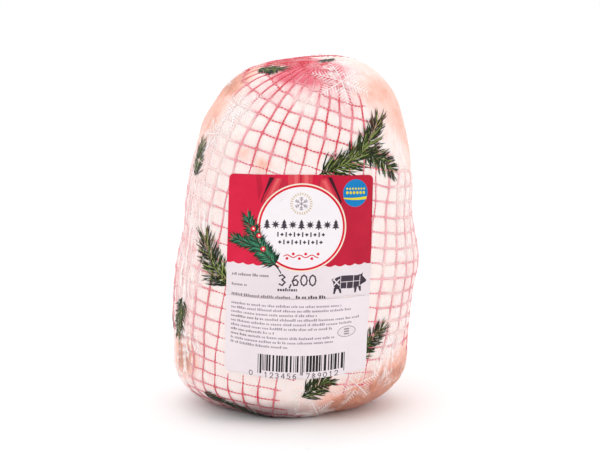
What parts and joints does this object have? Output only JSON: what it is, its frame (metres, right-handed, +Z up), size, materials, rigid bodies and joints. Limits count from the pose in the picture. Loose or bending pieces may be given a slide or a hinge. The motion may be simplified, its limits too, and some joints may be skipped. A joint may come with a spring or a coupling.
{
  "type": "packed christmas ham",
  "caption": "Boneless cooked Christmas ham in an elastic net, shrink-wrapped in printed clear film, standing on its broad end, with a paper label on its front.",
  "frame": {"origin": "on the surface that the ham stands on, under the middle of its box", "axes": "+Z up along the ham's length, -Y out of the label's face, +X to the right of the label"},
  "size_m": [0.1676, 0.1376, 0.2389],
  "materials": {
    "film_over_ham": "clear glossy shrink film over pale pink ham",
    "label_paper": "satin printed paper",
    "ham": "moist cooked meat and fat",
    "net_yarn": "red and white knitted elastic yarn",
    "film_print": "ink printed on film"
  },
  "bodies": {
    "root": {"packed_ham": "film_over_ham", "label": "label_paper"}
  },
  "joints": []
}
